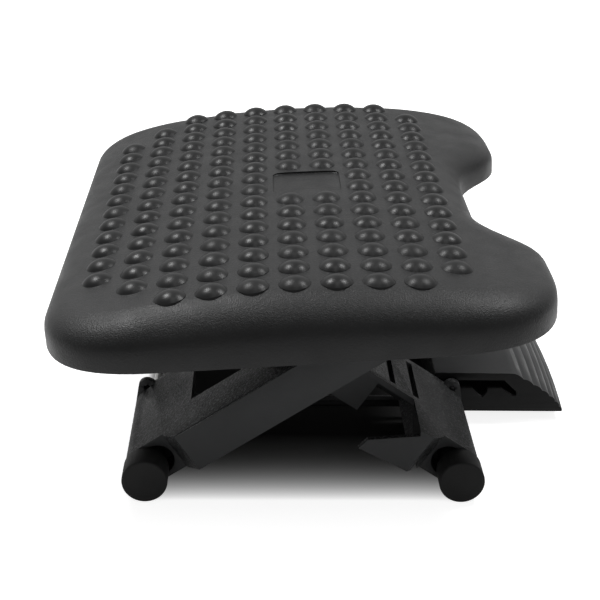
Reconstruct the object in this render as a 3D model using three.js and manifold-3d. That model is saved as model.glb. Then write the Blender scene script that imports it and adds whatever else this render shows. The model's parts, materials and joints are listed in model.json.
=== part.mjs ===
// Tilting under desk footrest, in millimetres, +Z up.
// The user sits on the -Y side, so -X is the left end and +X is the right end.
// Two moulded leg frames cross like scissors and carry a level carrier, and the
// studded deck rocks on that carrier. A toe pedal holds the spread of the legs.
import * as THREE from 'three';
import { mergeVertices } from 'three/addons/utils/BufferGeometryUtils.js';
import Module from 'manifold-3d';

const wasm = await Module();
wasm.setup();

// Clearances that every fit uses
const fitGap = 0.35;
const sideGap = 0.3;
const cutOverrun = 2;
const weldGap = 0.0001;

// Stance of the legs in the high position
const legSlope = THREE.MathUtils.degToRad(33.8);
const footRadius = 14.8;
const footHalfSpan = 102.2;
const legUpperReach = 58;
const legLowerReach = footHalfSpan / Math.cos(legSlope);
const axleHeight = footRadius + legLowerReach * Math.sin(legSlope);
const topHalfSpan = legUpperReach * Math.cos(legSlope);
const topHeight = axleHeight + legUpperReach * Math.sin(legSlope);

// Sizes that the rest of the object follows
const deckHalfLength = 223;
const deckHalfWidth = 162.4;
const pedalHalfWidth = 77;

// Leg frame moulding, between the ends of the deck and the sides of the pedal
const legEndMargin = 37;
const pedalSideGap = 1.5;
const legOuterFace = deckHalfLength - legEndMargin;
const legInnerFace = pedalHalfWidth + pedalSideGap;
const narrowArmWidth = 42;
const armPassGap = 1.5;
const armHalfDepth = 14;
const latchEarRadius = 6;
const blockDepth = 28.2;
const blockSkin = 5;
const footFaceSetback = 15;
const bevelSetback = 13;
const bevelOuterReach = 33;
const bevelInnerReach = 23;
const socketReach = 9;
const socketRadius = 11;
const socketGap = 0.8;
const socketDepth = 20;
const armWellStart = 29;
const armWellEnd = 70;
const armWellSkin = 4;
const armWellWall = 6;
const grooveWidth = 5;
const grooveInset = 5.4;
const grooveReaches = [38.4, 57.8];
const edgeGrooveInset = 1.2;
const edgeGrooveWidth = 1.6;
const edgeGrooveDepth = 1.8;
const edgeGrooveStart = 19;
const crossBeamReach = 40;
const crossBeamRadius = 8;
const stubWall = 4;
const stubPoints = [[74.5, 46.5], [40.5, 43.7], [34.6, 37.7], [72, 17.5], [77.4, 15.1]];

// Steel rods and pins
const rodRadius = 4;
const rodEndCover = 5;
const rodEndRoundShare = 0.25;
const pivotHoleSides = 20;
const rodSides = 16;
const beamSides = 14;
const boltSides = 12;
const clipRadius = 7.6;
const clipWidth = 2.4;
const spacerRadius = 14.4;

// Rubber foot tubes
const footEndProud = 4.6;
const footOuterEnd = legOuterFace + footEndProud;
const footEndCover = 10;
const footInnerRadius = 10.8;
const footEndRound = 1.2;

// Carrier between the legs and the deck
const railSideGap = 3.5;
const railOuterFace = legInnerFace - railSideGap;
const railWidth = 5;
const railHalfHeight = 10.5;
const railEndMargin = 9;
const slideRun = 14.5;
const spacerTubeRadius = 6.5;
const spacerTubeReach = 24;
const spacerBoltRadius = 3;
const spacerHeadRadius = 5.4;
const spacerHeadHeight = 1.5;
const frictionWasherRadius = 9.5;
const frictionWasherWidth = 2;

// Deck shell
const deckShift = 1.8;
const deckRestTilt = THREE.MathUtils.degToRad(3.93);
const deckCrownHeight = 38.4;
const deckCrownRadius = 729;
const deckRimDrop = 0.78;
const deckWidestHeight = 9;
const deckRollWidth = 25;
const deckRollInwardShare = 1.676;
const deckRollUpwardShare = 0.793;
const deckWall = 3.4;

// Points of the deck's outline, as shares of its half length and half width
const toeFlatShare = 0.6934;
const toeCornerPullShare = 0.8355;
const toeEndPullShare = 0.9273;
const endFlatToeShare = 0.5743;
const endFlatUserShare = 0.4955;
const userEndPullShare = 0.9583;
const userCornerPullShare = 0.8017;
const lobeShare = 0.6112;
const notchStartShare = 0.5372;
const notchPullFarShare = 0.3777;
const notchPullNearShare = 0.3515;
const notchShare = 0.1461;
const notchFloorShare = 0.7762;
const deckOutlineSteps = 8;
const deckNotchSteps = 6;
const deckRollSteps = 3;

// Massage domes and the bare label recess
const domeRows = 16;
const domeColumns = 10;
const domeFieldShare = 0.85426;
const domePitch = 2 * deckHalfLength * domeFieldShare / (domeRows - 1);
const domeRadius = 10;
const domeHeight = 4.4;
const domeRoot = 2.4;
const domeShoulderRadiusShare = 0.6;
const domeShoulderHeightShare = 0.68;
const domeSides = 7;
const domeGridShift = 16.4;
const recessLengthShare = 1.811;
const recessWidthShare = 1.929;
const recessDepth = 1.8;
const recessCorner = 6;

// Deck underside
const bossRadius = 4.5;
const bossHeight = 6;
const ribThickness = 2.4;
const ribDepth = 9;
const ribPlaceShares = [0.27, 0.75];
const ribReach = 80;
const lugWidth = 6;
const lugEyeRadius = 10;
const lugBaseLength = 30;
const lugBaseHalfWidth = 23;
const lugBaseThickness = 3;
const lugRootHalfWidth = 14.4;
const lugScrewInset = 6.2;
const screwRadius = 1.5;
const screwHeadRadius = 3.3;
const screwHeadHeight = 2;
const screwDepth = 5;

// Pedal
const pedalBackReach = 96.5;
const pedalTopEnd = 151.6;
const pedalNoseReach = 190.4;
const pedalNosePull = 184.5;
const pedalNosePullHeight = 21;
const pedalNoseBulge = 3;
const pedalTop = 37.6;
const pedalBottom = 7;
const pedalWall = 2.6;
const pedalRibCount = 7;
const pedalRibHeight = 1.1;
const latchRodRadius = 2;
const latchRodReach = 108.2;
const latchRodHeight = 28;
const latchChannelFloor = 25.3;
const latchChannelTop = 31.6;
const latchPitch = 23.6;
const latchPocketFloor = 18.1;
const latchPocketKnee = 19.4;
const latchWallPlay = 2.9;
const latchKneePlay = 2.4;
const latchRampRun = 8.4;
const lastPocketRampStart = 144.5;
const lastPocketRampEnd = 153.1;
const lastPocketWall = 156;
const lastPocketShoulder = 146.5;
const linkThickness = 2.6;
const linkHalfHeight = 4;
const linkHeight = 12.6;
const linkEyeRadius = 8;
const linkPedalReach = 69.5;
const linkEndReach = pedalBackReach + linkPedalReach;
const linkRivetInsets = [42, 6];
const linkRivetReaches = linkRivetInsets.map((inset) => linkEndReach - inset);
const rivetRadius = 2;
const rivetHeadRadius = 3.6;
const rivetHeadHeight = 1.2;

const footrest = new THREE.Group();
const group = new THREE.Group();

// Manifold helpers
function toSolid(geometry) {
  const bare = geometry.index ? geometry.toNonIndexed() : geometry.clone();
  bare.deleteAttribute('normal');
  bare.deleteAttribute('uv');
  const merged = mergeVertices(bare, weldGap);
  return new wasm.Manifold(new wasm.Mesh({
    numProp: 3,
    vertProperties: new Float32Array(merged.attributes.position.array),
    triVerts: new Uint32Array(merged.index.array),
  }));
}

function toGeometry(solid) {
  const mesh = solid.getMesh();
  const geometry = new THREE.BufferGeometry();
  geometry.setAttribute('position', new THREE.BufferAttribute(new Float32Array(mesh.vertProperties), 3));
  geometry.setIndex(new THREE.BufferAttribute(new Uint32Array(mesh.triVerts), 1));
  return geometry;
}

// The two ends along X of a piece on the left (side -1) or right (side 1), lower end first
function sortedEnds(side, inner, outer) {
  return side > 0 ? [inner, outer] : [-outer, -inner];
}

function joined(solids) {
  return solids.reduce((sum, next) => sum.add(next));
}

function without(body, cuts) {
  return cuts.reduce((rest, cut) => rest.subtract(cut), body);
}

// A side outline given as [y, z] pairs becomes a bar along X
function barAlongX(outline, x0, x1, steps = 1) {
  const shape = new THREE.Shape(outline.map(([y, z]) => new THREE.Vector2(y, z)));
  const settings = { depth: x1 - x0, bevelEnabled: false, steps };
  const geometry = new THREE.ExtrudeGeometry(shape, settings);
  const axes = new THREE.Matrix4().set(0, 0, 1, x0, 1, 0, 0, 0, 0, 1, 0, 0, 0, 0, 0, 1);
  return geometry.applyMatrix4(axes);
}

function boxBetween([x0, y0, z0], [x1, y1, z1]) {
  const geometry = new THREE.BoxGeometry(x1 - x0, y1 - y0, z1 - z0);
  return geometry.translate((x0 + x1) / 2, (y0 + y1) / 2, (z0 + z1) / 2);
}

// A straight round rod along X, with a flat facet underneath
function rodAlongX(radius, x0, x1, y, z, sides = rodSides) {
  const geometry = new THREE.CylinderGeometry(radius, radius, x1 - x0, sides);
  geometry.rotateY(Math.PI / sides);
  geometry.rotateZ(-Math.PI / 2);
  return geometry.translate((x0 + x1) / 2, y, z);
}

// A hole is wide enough to clear a faceted rod at any angle
function holeAlongX(radius, x0, x1, y, z) {
  const fullRadius = (radius + fitGap) / Math.cos(Math.PI / pivotHoleSides);
  return rodAlongX(fullRadius, x0, x1, y, z, pivotHoleSides);
}

// A turned piece along X from pairs of [radius, x]
function turnedAlongX(profile, y, z, sides = rodSides) {
  const points = profile.map(([radius, x]) => new THREE.Vector2(radius, x));
  const geometry = new THREE.LatheGeometry(points, sides);
  geometry.rotateY(Math.PI / sides);
  geometry.rotateZ(-Math.PI / 2);
  return geometry.translate(0, y, z);
}

function ringAlongX(inner, outer, x0, x1, y, z, sides = rodSides) {
  return turnedAlongX([[inner, x0], [outer, x0], [outer, x1], [inner, x1], [inner, x0]], y, z, sides);
}

// The outline round two circles and the straight tangents between them
function capsule([ay, az], ar, [by, bz], br, steps = 8) {
  const heading = Math.atan2(bz - az, by - ay);
  const lean = Math.acos((ar - br) / Math.hypot(by - ay, bz - az));
  const points = [];
  for (let i = 0; i <= steps; i++) {
    const angle = heading + lean + (2 * Math.PI - 2 * lean) * i / steps;
    points.push([ay + ar * Math.cos(angle), az + ar * Math.sin(angle)]);
  }
  for (let i = 0; i <= steps; i++) {
    const angle = heading - lean + 2 * lean * i / steps;
    points.push([by + br * Math.cos(angle), bz + br * Math.sin(angle)]);
  }
  return points;
}

function addPiece(parent, name, geometry, color, roughness, metalness) {
  const material = new THREE.MeshStandardMaterial({ color, roughness, metalness });
  const mesh = new THREE.Mesh(geometry, material);
  mesh.name = name;
  parent.add(mesh);
  return mesh;
}

// Places along one leg: how far from the foot towards the top, and how far above the middle line
const footPoint = [footHalfSpan, footRadius];
const axlePoint = [0, axleHeight];
const topPoint = [-topHalfSpan, topHeight];
function alongLeg(reach, rise) {
  const y = footHalfSpan - reach * Math.cos(legSlope) + rise * Math.sin(legSlope);
  const z = footRadius + reach * Math.sin(legSlope) + rise * Math.cos(legSlope);
  return [y, z];
}

// One leg frame, with the narrow arm on the left and the wide arm on the right.
// The other frame is the same moulding turned half a turn.
const narrowInner = legOuterFace - narrowArmWidth;
const wideOuter = narrowInner - armPassGap;
const blockEdge = footHalfSpan - blockDepth;
const farCut = 3 * footHalfSpan;

function armBar(x0, x1) {
  return toSolid(barAlongX(capsule(footPoint, armHalfDepth, topPoint, armHalfDepth), x0, x1));
}

function footBlock(x0, x1) {
  const keep = toSolid(boxBetween(
    [x0 - cutOverrun, blockEdge, -farCut], [x1 + cutOverrun, farCut, farCut],
  ));
  return armBar(x0, x1).intersect(keep);
}

// An upright ear at the inner end of each block carries the latch rod
function latchEar(side) {
  const outline = capsule(footPoint, armHalfDepth, [latchRodReach, latchRodHeight], latchEarRadius);
  return toSolid(barAlongX(outline, ...sortedEnds(side, legInnerFace, legInnerFace + blockSkin)));
}

// The outer end of each block is set back round the foot tube behind a bevel
function footFaceCut(side) {
  const outerX = legOuterFace + cutOverrun;
  const faceX = legOuterFace - footFaceSetback;
  const bevelX = legOuterFace - bevelSetback;
  const flare = (bevelOuterReach - bevelInnerReach) * cutOverrun / bevelSetback;
  const plan = [
    [-farCut, outerX],
    [bevelOuterReach + flare, outerX],
    [bevelOuterReach, legOuterFace],
    [bevelInnerReach, bevelX],
    [bevelInnerReach, faceX],
    [-farCut, faceX],
  ];
  const shape = new THREE.Shape(plan.map(([reach, x]) => new THREE.Vector2(reach, side * x)));
  const depth = 4 * armHalfDepth;
  const geometry = new THREE.ExtrudeGeometry(shape, { depth, bevelEnabled: false });
  geometry.translate(0, 0, -depth / 2);
  const [cosine, sine] = [Math.cos(legSlope), Math.sin(legSlope)];
  const axes = new THREE.Matrix4().set(
    0, 1, 0, 0,
    -cosine, 0, sine, footHalfSpan,
    sine, 0, cosine, footRadius,
    0, 0, 0, 1,
  );
  return toSolid(geometry.applyMatrix4(axes));
}

function footBores(side) {
  const tubeBore = (footInnerRadius + fitGap) / Math.cos(Math.PI / pivotHoleSides);
  const inner = legInnerFace + blockSkin;
  const outer = legOuterFace + cutOverrun;
  const socketStart = legOuterFace - footFaceSetback - socketDepth;
  const boreEnds = sortedEnds(side, inner, outer);
  const socketEnds = sortedEnds(side, socketStart, outer);
  const socket = capsule(
    footPoint, footInnerRadius + socketGap, alongLeg(socketReach, 0), socketRadius, 10,
  );
  return [
    toSolid(rodAlongX(tubeBore, ...boreEnds, ...footPoint, pivotHoleSides)),
    toSolid(barAlongX(socket, ...socketEnds)),
  ];
}

// The wide arm is hollow under its top skin, and two slots open that skin
function wideArmWell() {
  const floor = -2 * armHalfDepth;
  const skin = armHalfDepth - armWellSkin;
  const outline = [
    alongLeg(armWellStart, floor),
    alongLeg(armWellEnd, floor),
    alongLeg(armWellEnd, skin),
    alongLeg(armWellStart, skin),
  ].reverse();
  return toSolid(barAlongX(outline, legInnerFace + armWellWall, wideOuter + cutOverrun));
}

function skinSlot(reach) {
  const outline = [
    alongLeg(reach, armHalfDepth - armWellSkin - cutOverrun),
    alongLeg(reach + grooveWidth, armHalfDepth - armWellSkin - cutOverrun),
    alongLeg(reach + grooveWidth, armHalfDepth + cutOverrun),
    alongLeg(reach, armHalfDepth + cutOverrun),
  ].reverse();
  return toSolid(barAlongX(outline, legInnerFace + armWellWall, wideOuter - grooveInset));
}

// A thin groove parts the top of the narrow arm from its outer side
function edgeGroove() {
  const outline = [
    alongLeg(edgeGrooveStart, armHalfDepth - edgeGrooveDepth),
    alongLeg(legLowerReach + legUpperReach, armHalfDepth - edgeGrooveDepth),
    alongLeg(legLowerReach + legUpperReach, armHalfDepth + cutOverrun),
    alongLeg(edgeGrooveStart, armHalfDepth + cutOverrun),
  ].reverse();
  const outer = legOuterFace - edgeGrooveInset;
  return toSolid(barAlongX(outline, -outer, edgeGrooveWidth - outer));
}

function legFrameGeometry() {
  const narrow = armBar(-legOuterFace, -narrowInner);
  const wide = armBar(legInnerFace, wideOuter);
  const leftBlock = footBlock(-legOuterFace, -legInnerFace);
  const rightBlock = footBlock(legInnerFace, legOuterFace);
  const beamPoint = alongLeg(legLowerReach - crossBeamReach, 0);
  const beamEnds = [-narrowInner - crossBeamRadius, legInnerFace + crossBeamRadius];
  const beam = toSolid(rodAlongX(crossBeamRadius, ...beamEnds, ...beamPoint, beamSides));
  const stub = toSolid(barAlongX(stubPoints.toReversed(), legOuterFace - stubWall, legOuterFace));
  const ears = [-1, 1].map(latchEar);
  const body = joined([narrow, wide, leftBlock, rightBlock, ...ears, beam, stub]);
  const rodEnd = legOuterFace - rodEndCover + sideGap;
  const cuts = [
    footFaceCut(-1),
    footFaceCut(1),
    ...footBores(-1),
    ...footBores(1),
    wideArmWell(),
    ...grooveReaches.map(skinSlot),
    edgeGroove(),
    toSolid(holeAlongX(rodRadius, -legOuterFace, legOuterFace, ...footPoint)),
    toSolid(holeAlongX(rodRadius, -rodEnd, rodEnd, ...axlePoint)),
    toSolid(holeAlongX(rodRadius, -rodEnd, wideOuter + cutOverrun, ...topPoint)),
    toSolid(holeAlongX(latchRodRadius, -latchHoleEnd, latchHoleEnd, latchRodReach, latchRodHeight)),
  ];
  return toGeometry(without(body, cuts));
}
const latchRodEnd = legInnerFace + blockSkin - fitGap;
const latchHoleEnd = legInnerFace + blockSkin + cutOverrun;

// A rubber foot, blind bored for the rod, with a wider tread outside the leg frame
function footTubeGeometry(side) {
  const sides = 24;
  const radius = footRadius / Math.cos(Math.PI / sides);
  const neck = footInnerRadius / Math.cos(Math.PI / sides);
  const bore = (rodRadius + fitGap) / Math.cos(Math.PI / sides);
  const inner = legInnerFace + blockSkin + sideGap;
  const blind = footOuterEnd - footEndCover;
  const treadStart = legOuterFace - footFaceSetback + sideGap;
  const profile = [
    [0, blind],
    [bore, blind],
    [bore, inner],
    [neck, inner],
    [neck, treadStart],
    [radius - footEndRound, treadStart],
    [radius, treadStart + footEndRound],
    [radius, footOuterEnd - footEndRound],
    [radius - footEndRound, footOuterEnd],
    [0, footOuterEnd],
  ];
  const geometry = turnedAlongX(profile, ...footPoint, sides);
  return side > 0 ? geometry : turnedHalf(geometry);
}

// The same piece at the other end of the object
function turnedHalf(geometry) {
  const copy = geometry.clone();
  copy.translate(0, -footHalfSpan, 0);
  copy.rotateZ(Math.PI);
  return copy.translate(0, footHalfSpan, 0);
}

function rodWithRoundedEnds(radius, x0, x1, y, z) {
  const round = radius * rodEndRoundShare;
  const profile = [
    [0, x0], [radius - round, x0], [radius, x0 + round],
    [radius, x1 - round], [radius - round, x1], [0, x1],
  ];
  return turnedAlongX(profile, y, z, boltSides);
}

// Deck outline, walked from the toe side middle round the right end and back
function bezierPoints(points, steps) {
  const curve = new THREE.CubicBezierCurve(...points.map(([x, y]) => new THREE.Vector2(x, y)));
  return curve.getPoints(steps);
}

function deckOutline() {
  const half = [
    ...bezierPoints(
      [[toeFlatShare, 1], [toeCornerPullShare, 1], [1, toeEndPullShare], [1, endFlatToeShare]],
      deckOutlineSteps,
    ),
    new THREE.Vector2(1, 0),
    ...bezierPoints(
      [[1, -endFlatUserShare], [1, -userEndPullShare], [userCornerPullShare, -1], [lobeShare, -1]],
      deckOutlineSteps,
    ),
    ...bezierPoints(
      [
        [notchStartShare, -1], [notchPullFarShare, -1],
        [notchPullNearShare, -notchFloorShare], [notchShare, -notchFloorShare],
      ],
      deckNotchSteps,
    ),
  ];
  const toeMiddle = [new THREE.Vector2(0, 1), new THREE.Vector2(toeFlatShare / 2, 1)];
  const right = [...toeMiddle, ...half, new THREE.Vector2(0, -notchFloorShare)];
  const left = right.slice(1, -1).reverse().map((p) => new THREE.Vector2(-p.x, p.y));
  const size = new THREE.Vector2(deckHalfLength, deckHalfWidth);
  return [...right, ...left].map((p) => p.clone().multiply(size)).reverse();
}

function insetOutline(outline, distance) {
  const count = outline.length;
  return outline.map((point, i) => {
    const before = outline[(i + count - 1) % count];
    const after = outline[(i + 1) % count];
    const inA = new THREE.Vector2(before.y - point.y, point.x - before.x).normalize();
    const inB = new THREE.Vector2(point.y - after.y, after.x - point.x).normalize();
    const inward = inA.add(inB).normalize();
    return point.clone().addScaledVector(inward, distance);
  });
}

function crown(y) {
  return deckCrownHeight - deckCrownRadius + Math.sqrt(deckCrownRadius ** 2 - y ** 2);
}

// Rings of one skin of the rim: up to the widest place, then over to the plate
function rimSkin(wall) {
  const outline = deckOutline();
  const edge = insetOutline(outline, deckRollWidth);
  const rings = [insetOutline(outline, wall).map((p) => [p.x, p.y, -deckRimDrop])];
  for (let i = 0; i <= deckRollSteps; i++) {
    const angle = Math.PI / 2 * i / deckRollSteps;
    const inward = 1 - Math.cos(angle) ** deckRollInwardShare;
    const upward = Math.sin(angle) ** deckRollUpwardShare;
    const ring = insetOutline(outline, wall + (deckRollWidth - wall) * inward);
    rings.push(ring.map((p, j) => {
      const rise = crown(edge[j].y) - wall - deckWidestHeight;
      return [p.x, p.y, deckWidestHeight + rise * upward];
    }));
  }
  return rings;
}

// The rolled rim is a closed loop: outer skin up, inner skin down
function rimBody() {
  const rings = [...rimSkin(0), ...rimSkin(deckWall).reverse()];
  const count = rings[0].length;
  const index = [];
  for (let r = 0; r < rings.length; r++) {
    const next = (r + 1) % rings.length;
    for (let i = 0; i < count; i++) {
      const j = (i + 1) % count;
      index.push(r * count + i, r * count + j, next * count + j);
      index.push(r * count + i, next * count + j, next * count + i);
    }
  }
  const geometry = new THREE.BufferGeometry();
  geometry.setAttribute('position', new THREE.Float32BufferAttribute(rings.flat(2), 3));
  geometry.setIndex(index);
  return geometry;
}

// Places across the crown where one flat strip meets the next, between dome columns
function stripEdges() {
  const edges = [];
  for (let column = -2; column <= domeColumns + 2; column++) {
    const across = domeGridShift + (domeColumns / 2 - column) * domePitch;
    const y = deckCrownRadius * Math.sin(across / deckCrownRadius);
    if (Math.abs(y) < deckHalfWidth - deckRollWidth / 2) edges.push(y);
  }
  return [deckHalfWidth, ...edges, -deckHalfWidth];
}

function plateBody() {
  const edges = stripEdges();
  const top = edges.map((y) => [y, crown(y)]);
  const bottom = edges.map((y) => [y, crown(y) - deckWall]).reverse();
  const slab = toSolid(barAlongX([...top, ...bottom], -deckHalfLength, deckHalfLength));
  const outline = insetOutline(deckOutline(), deckRollWidth - sideGap);
  const shape = new THREE.Shape(outline);
  const depth = 2 * deckCrownHeight;
  return slab.intersect(toSolid(new THREE.ExtrudeGeometry(shape, { depth, bevelEnabled: false })));
}

// The domes stand square to the crowned top. The corner columns are shorter,
// and the four places in the middle are left for the label recess.
function domePlaces() {
  const places = [];
  for (let column = 0; column < domeColumns; column++) {
    const trim = column === 0 ? 2 : column === 1 || column === domeColumns - 1 ? 1 : 0;
    for (let row = trim; row < domeRows - trim; row++) {
      const inRecess = (column === 5 || column === 6) && (row === 7 || row === 8);
      if (inRecess) continue;
      const along = (row - (domeRows - 1) / 2) * domePitch;
      const across = domeGridShift + ((domeColumns - 1) / 2 - column) * domePitch;
      places.push([along, across]);
    }
  }
  return places;
}

function domeSolids() {
  const shoulderRadius = domeRadius * domeShoulderRadiusShare;
  const shoulderHeight = domeHeight * domeShoulderHeightShare;
  const flare = (domeRadius - shoulderRadius) / shoulderHeight;
  const profile = [
    [0, -domeRoot],
    [domeRadius + domeRoot * flare, -domeRoot],
    [shoulderRadius, shoulderHeight],
    [0, domeHeight],
  ].map(([r, h]) => new THREE.Vector2(r, h));
  const dome = new THREE.LatheGeometry(profile, domeSides).rotateX(Math.PI / 2);
  return domePlaces().map(([x, across]) => {
    const angle = across / deckCrownRadius;
    const y = deckCrownRadius * Math.sin(angle);
    return toSolid(dome.clone().rotateX(-angle).translate(x, y, crown(y)));
  });
}

function roundedRectangle(length, width, corner) {
  const shape = new THREE.Shape();
  const corners = [[1, 1, 0], [-1, 1, 1], [-1, -1, 2], [1, -1, 3]];
  for (const [sx, sy, turn] of corners) {
    const start = turn * Math.PI / 2;
    const cx = sx * (length / 2 - corner);
    const cy = sy * (width / 2 - corner);
    shape.absarc(cx, cy, corner, start, start + Math.PI / 2, false);
  }
  return shape;
}

function recessCut() {
  const shape = roundedRectangle(
    domePitch * recessLengthShare, domePitch * recessWidthShare, recessCorner,
  );
  const depth = recessDepth + cutOverrun;
  const geometry = new THREE.ExtrudeGeometry(shape, { depth, bevelEnabled: false, curveSegments: 3 });
  const across = domeGridShift - domePitch;
  const angle = across / deckCrownRadius;
  const y = deckCrownRadius * Math.sin(angle);
  geometry.translate(0, 0, -recessDepth);
  geometry.rotateX(-angle);
  return toSolid(geometry.translate(0, y, crown(y)));
}

// Lug screws sit at the corners of each lug base, under bosses on the ceiling
const lugOuterFace = railOuterFace - railWidth - 2 * sideGap - frictionWasherWidth;
const lugInnerFace = lugOuterFace - lugWidth;
const lugBaseInner = lugOuterFace - lugBaseLength;
const bossFace = deckCrownHeight - deckWall - bossHeight;
const lugBaseTop = bossFace - sideGap;
const lugBaseBottom = lugBaseTop - lugBaseThickness;
function lugScrewPlaces(side) {
  const xs = [lugBaseInner + lugScrewInset, lugInnerFace - lugScrewInset + screwHeadRadius / 2];
  const y = lugBaseHalfWidth - lugScrewInset;
  return xs.flatMap((x) => [[side * x, y], [side * x, -y]]);
}

function deckShellGeometry() {
  const bosses = [-1, 1].flatMap(lugScrewPlaces).map(([x, y]) => {
    const geometry = new THREE.CylinderGeometry(bossRadius, bossRadius, bossHeight + deckWall / 2, 8);
    geometry.rotateX(Math.PI / 2);
    return toSolid(geometry.translate(x, y - deckShift, bossFace + (bossHeight + deckWall / 2) / 2));
  });
  const ribs = [-1, 1].flatMap((side) => ribPlaceShares.map(
    (share) => toSolid(ceilingRib(side * share * lugBaseInner)),
  ));
  const pilots = [-1, 1].flatMap(lugScrewPlaces).map(([x, y]) => toSolid(screwHole(x, y - deckShift)));
  const parts = [toSolid(rimBody()), plateBody(), ...bosses, ...ribs, ...domeSolids()];
  const whole = wasm.Manifold.union(parts);
  return toGeometry(without(whole, [recessCut(), ...pilots])).translate(0, deckShift, 0);
}

function ceilingRib(x) {
  const steps = 4;
  const top = [];
  const bottom = [];
  for (let i = 0; i <= steps; i++) {
    const y = ribReach * (2 * i / steps - 1);
    top.push([y, crown(y) - deckWall / 2]);
    bottom.push([y, crown(y) - deckWall - ribDepth]);
  }
  return barAlongX([...bottom, ...top.reverse()], x - ribThickness / 2, x + ribThickness / 2);
}

function screwHole(x, y) {
  const radius = (screwRadius + fitGap) / Math.cos(Math.PI / 10);
  const depth = screwDepth + sideGap;
  const geometry = new THREE.CylinderGeometry(radius, radius, depth + cutOverrun, 10);
  geometry.rotateX(Math.PI / 2);
  return geometry.translate(x, y, bossFace + (depth - cutOverrun) / 2);
}

// A lug hangs from the ceiling to the tilt shaft
function lugGeometry(side) {
  const eye = capsule([0, 0], lugEyeRadius, [0, lugBaseBottom - lugEyeRadius], lugRootHalfWidth, 8);
  const plateEnds = sortedEnds(side, lugInnerFace, lugOuterFace);
  const baseEnds = sortedEnds(side, lugBaseInner, lugOuterFace);
  const plate = toSolid(barAlongX(eye, ...plateEnds));
  const keep = toSolid(boxBetween(
    [plateEnds[0] - cutOverrun, -farCut, -farCut], [plateEnds[1] + cutOverrun, farCut, lugBaseTop],
  ));
  const base = toSolid(boxBetween(
    [baseEnds[0], -lugBaseHalfWidth, lugBaseBottom], [baseEnds[1], lugBaseHalfWidth, lugBaseTop],
  ));
  const holes = lugScrewPlaces(side).map(([x, y]) => {
    const radius = (screwRadius + fitGap) / Math.cos(Math.PI / 10);
    const geometry = new THREE.CylinderGeometry(radius, radius, lugBaseThickness + 2 * cutOverrun, 10);
    return toSolid(geometry.rotateX(Math.PI / 2).translate(x, y, (lugBaseTop + lugBaseBottom) / 2));
  });
  const cutEnds = [plateEnds[0] - cutOverrun, plateEnds[1] + cutOverrun];
  const shaftHole = toSolid(holeAlongX(rodRadius, ...cutEnds, 0, 0));
  return toGeometry(without(plate.intersect(keep).add(base), [...holes, shaftHole]));
}

function lugScrewGeometry([x, y]) {
  const head = lugBaseBottom - sideGap;
  const profile = [
    [0, head - screwHeadHeight],
    [screwHeadRadius, head - screwHeadHeight],
    [screwHeadRadius, head],
    [screwRadius, head],
    [screwRadius, bossFace + screwDepth],
    [0, bossFace + screwDepth],
  ].map(([r, z]) => new THREE.Vector2(r, z));
  return new THREE.LatheGeometry(profile, 8).rotateX(Math.PI / 2).translate(x, y, 0);
}

// Carrier rails: a round hole for one leg shaft, one for the tilt shaft, and a
// level slot in which the other leg shaft slides as the legs spread
function railGeometry(side) {
  const ends = sortedEnds(side, railOuterFace - railWidth, railOuterFace);
  const slotEnd = topHalfSpan + slideRun;
  const outline = capsule(
    [-topHalfSpan - railEndMargin + railHalfHeight / 2, topHeight], railHalfHeight,
    [slotEnd + railEndMargin - railHalfHeight / 2, topHeight], railHalfHeight, 6,
  );
  const slotRadius = rodRadius + fitGap;
  const slot = capsule([topHalfSpan, topHeight], slotRadius / Math.cos(Math.PI / 12),
    [slotEnd, topHeight], slotRadius / Math.cos(Math.PI / 12), 6);
  const cutEnds = [ends[0] - cutOverrun, ends[1] + cutOverrun];
  const bolts = [-1, 1].map((way) => toSolid(holeAlongX(
    spacerBoltRadius, ...cutEnds, way * spacerTubeReach, topHeight,
  )));
  return toGeometry(without(toSolid(barAlongX(outline, ...ends)), [
    toSolid(holeAlongX(rodRadius, ...cutEnds, ...topPoint)),
    toSolid(holeAlongX(rodRadius, ...cutEnds, 0, topHeight)),
    toSolid(barAlongX(slot, ...cutEnds)),
    ...bolts,
  ]));
}

// Pedal: a hollow toe box with a ribbed, bowed nose
function pedalOutline(inset, ribs) {
  const nose = new THREE.QuadraticBezierCurve(
    new THREE.Vector2(-pedalTopEnd, pedalTop - inset),
    new THREE.Vector2(inset - pedalNosePull, pedalNosePullHeight - inset),
    new THREE.Vector2(inset - pedalNoseReach, inset > 0 ? pedalBottom - cutOverrun : pedalBottom),
  );
  const points = [[-inset - pedalBackReach, pedalTop - inset]];
  if (ribs) {
    const steps = 2 * pedalRibCount;
    for (let i = 0; i <= steps; i++) {
      const point = nose.getPoint(i / steps);
      const tangent = nose.getTangent(i / steps);
      const lift = i % 2 === 1 ? pedalRibHeight / 2 : i === 0 || i === steps ? 0 : -pedalRibHeight / 2;
      points.push([point.x + tangent.y * lift, point.y - tangent.x * lift]);
    }
  } else {
    nose.getPoints(5).forEach((point) => points.push([point.x, point.y]));
  }
  points.push([-inset - pedalBackReach, inset > 0 ? pedalBottom - cutOverrun : pedalBottom]);
  return points;
}

function bowed(geometry) {
  const position = geometry.attributes.position;
  for (let i = 0; i < position.count; i++) {
    const y = position.getY(i);
    const noseShare = Math.max(0, (-y - pedalTopEnd) / (pedalNoseReach - pedalTopEnd));
    const crossShare = 1 - (position.getX(i) / pedalHalfWidth) ** 2;
    position.setY(i, y - pedalNoseBulge * noseShare * crossShare);
  }
  return geometry;
}

function latchPocket(reach) {
  return [
    [-reach + latchRampRun, latchChannelFloor],
    [-reach + latchKneePlay, latchPocketKnee],
    [-reach, latchPocketFloor],
    [-reach - latchWallPlay, latchPocketKnee + latchWallPlay],
    [-reach - latchWallPlay, latchChannelFloor],
  ];
}

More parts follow.
